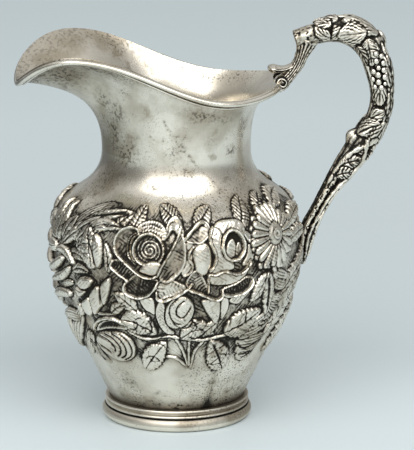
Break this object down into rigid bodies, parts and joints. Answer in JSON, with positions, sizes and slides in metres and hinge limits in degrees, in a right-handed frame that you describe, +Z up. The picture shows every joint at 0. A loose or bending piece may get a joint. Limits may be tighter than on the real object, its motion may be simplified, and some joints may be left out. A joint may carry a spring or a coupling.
{
  "type": "ewer",
  "caption": "Silver water ewer with a wide open spout, a belly raised with roses, daisies and leaves, a moulded rim, a ring foot and a cast vine branch handle with leaves and grapes.",
  "frame": {"origin": "on the axis of the body, on the plane that the foot ring stands on", "axes": "+Z up along the body's axis, the spout points along -X, the handle stands at +X, +Y to the right side seen from the handle"},
  "size_m": [0.2186, 0.148, 0.2351],
  "materials": {
    "silver_plain": "worn bright silver with light tarnish and fine scratches",
    "silver_relief": "raised and chased silver, bright edges and dark oxidised hollows",
    "silver_cast": "cast silver with dark oxidised hollows"
  },
  "bodies": {
    "root": {"foot_ring": "silver_plain", "foot_collar": "silver_plain", "body": "silver_plain", "flower_band": "silver_relief", "neck_and_spout": "silver_plain", "rim_moulding": "silver_plain", "branch": "silver_cast", "root_strap": "silver_cast", "thumb_scroll": "silver_cast", "rim_volutes": "silver_cast", "vine_leaves": "silver_cast", "grapes": "silver_cast", "tendrils": "silver_cast"}
  },
  "joints": []
}
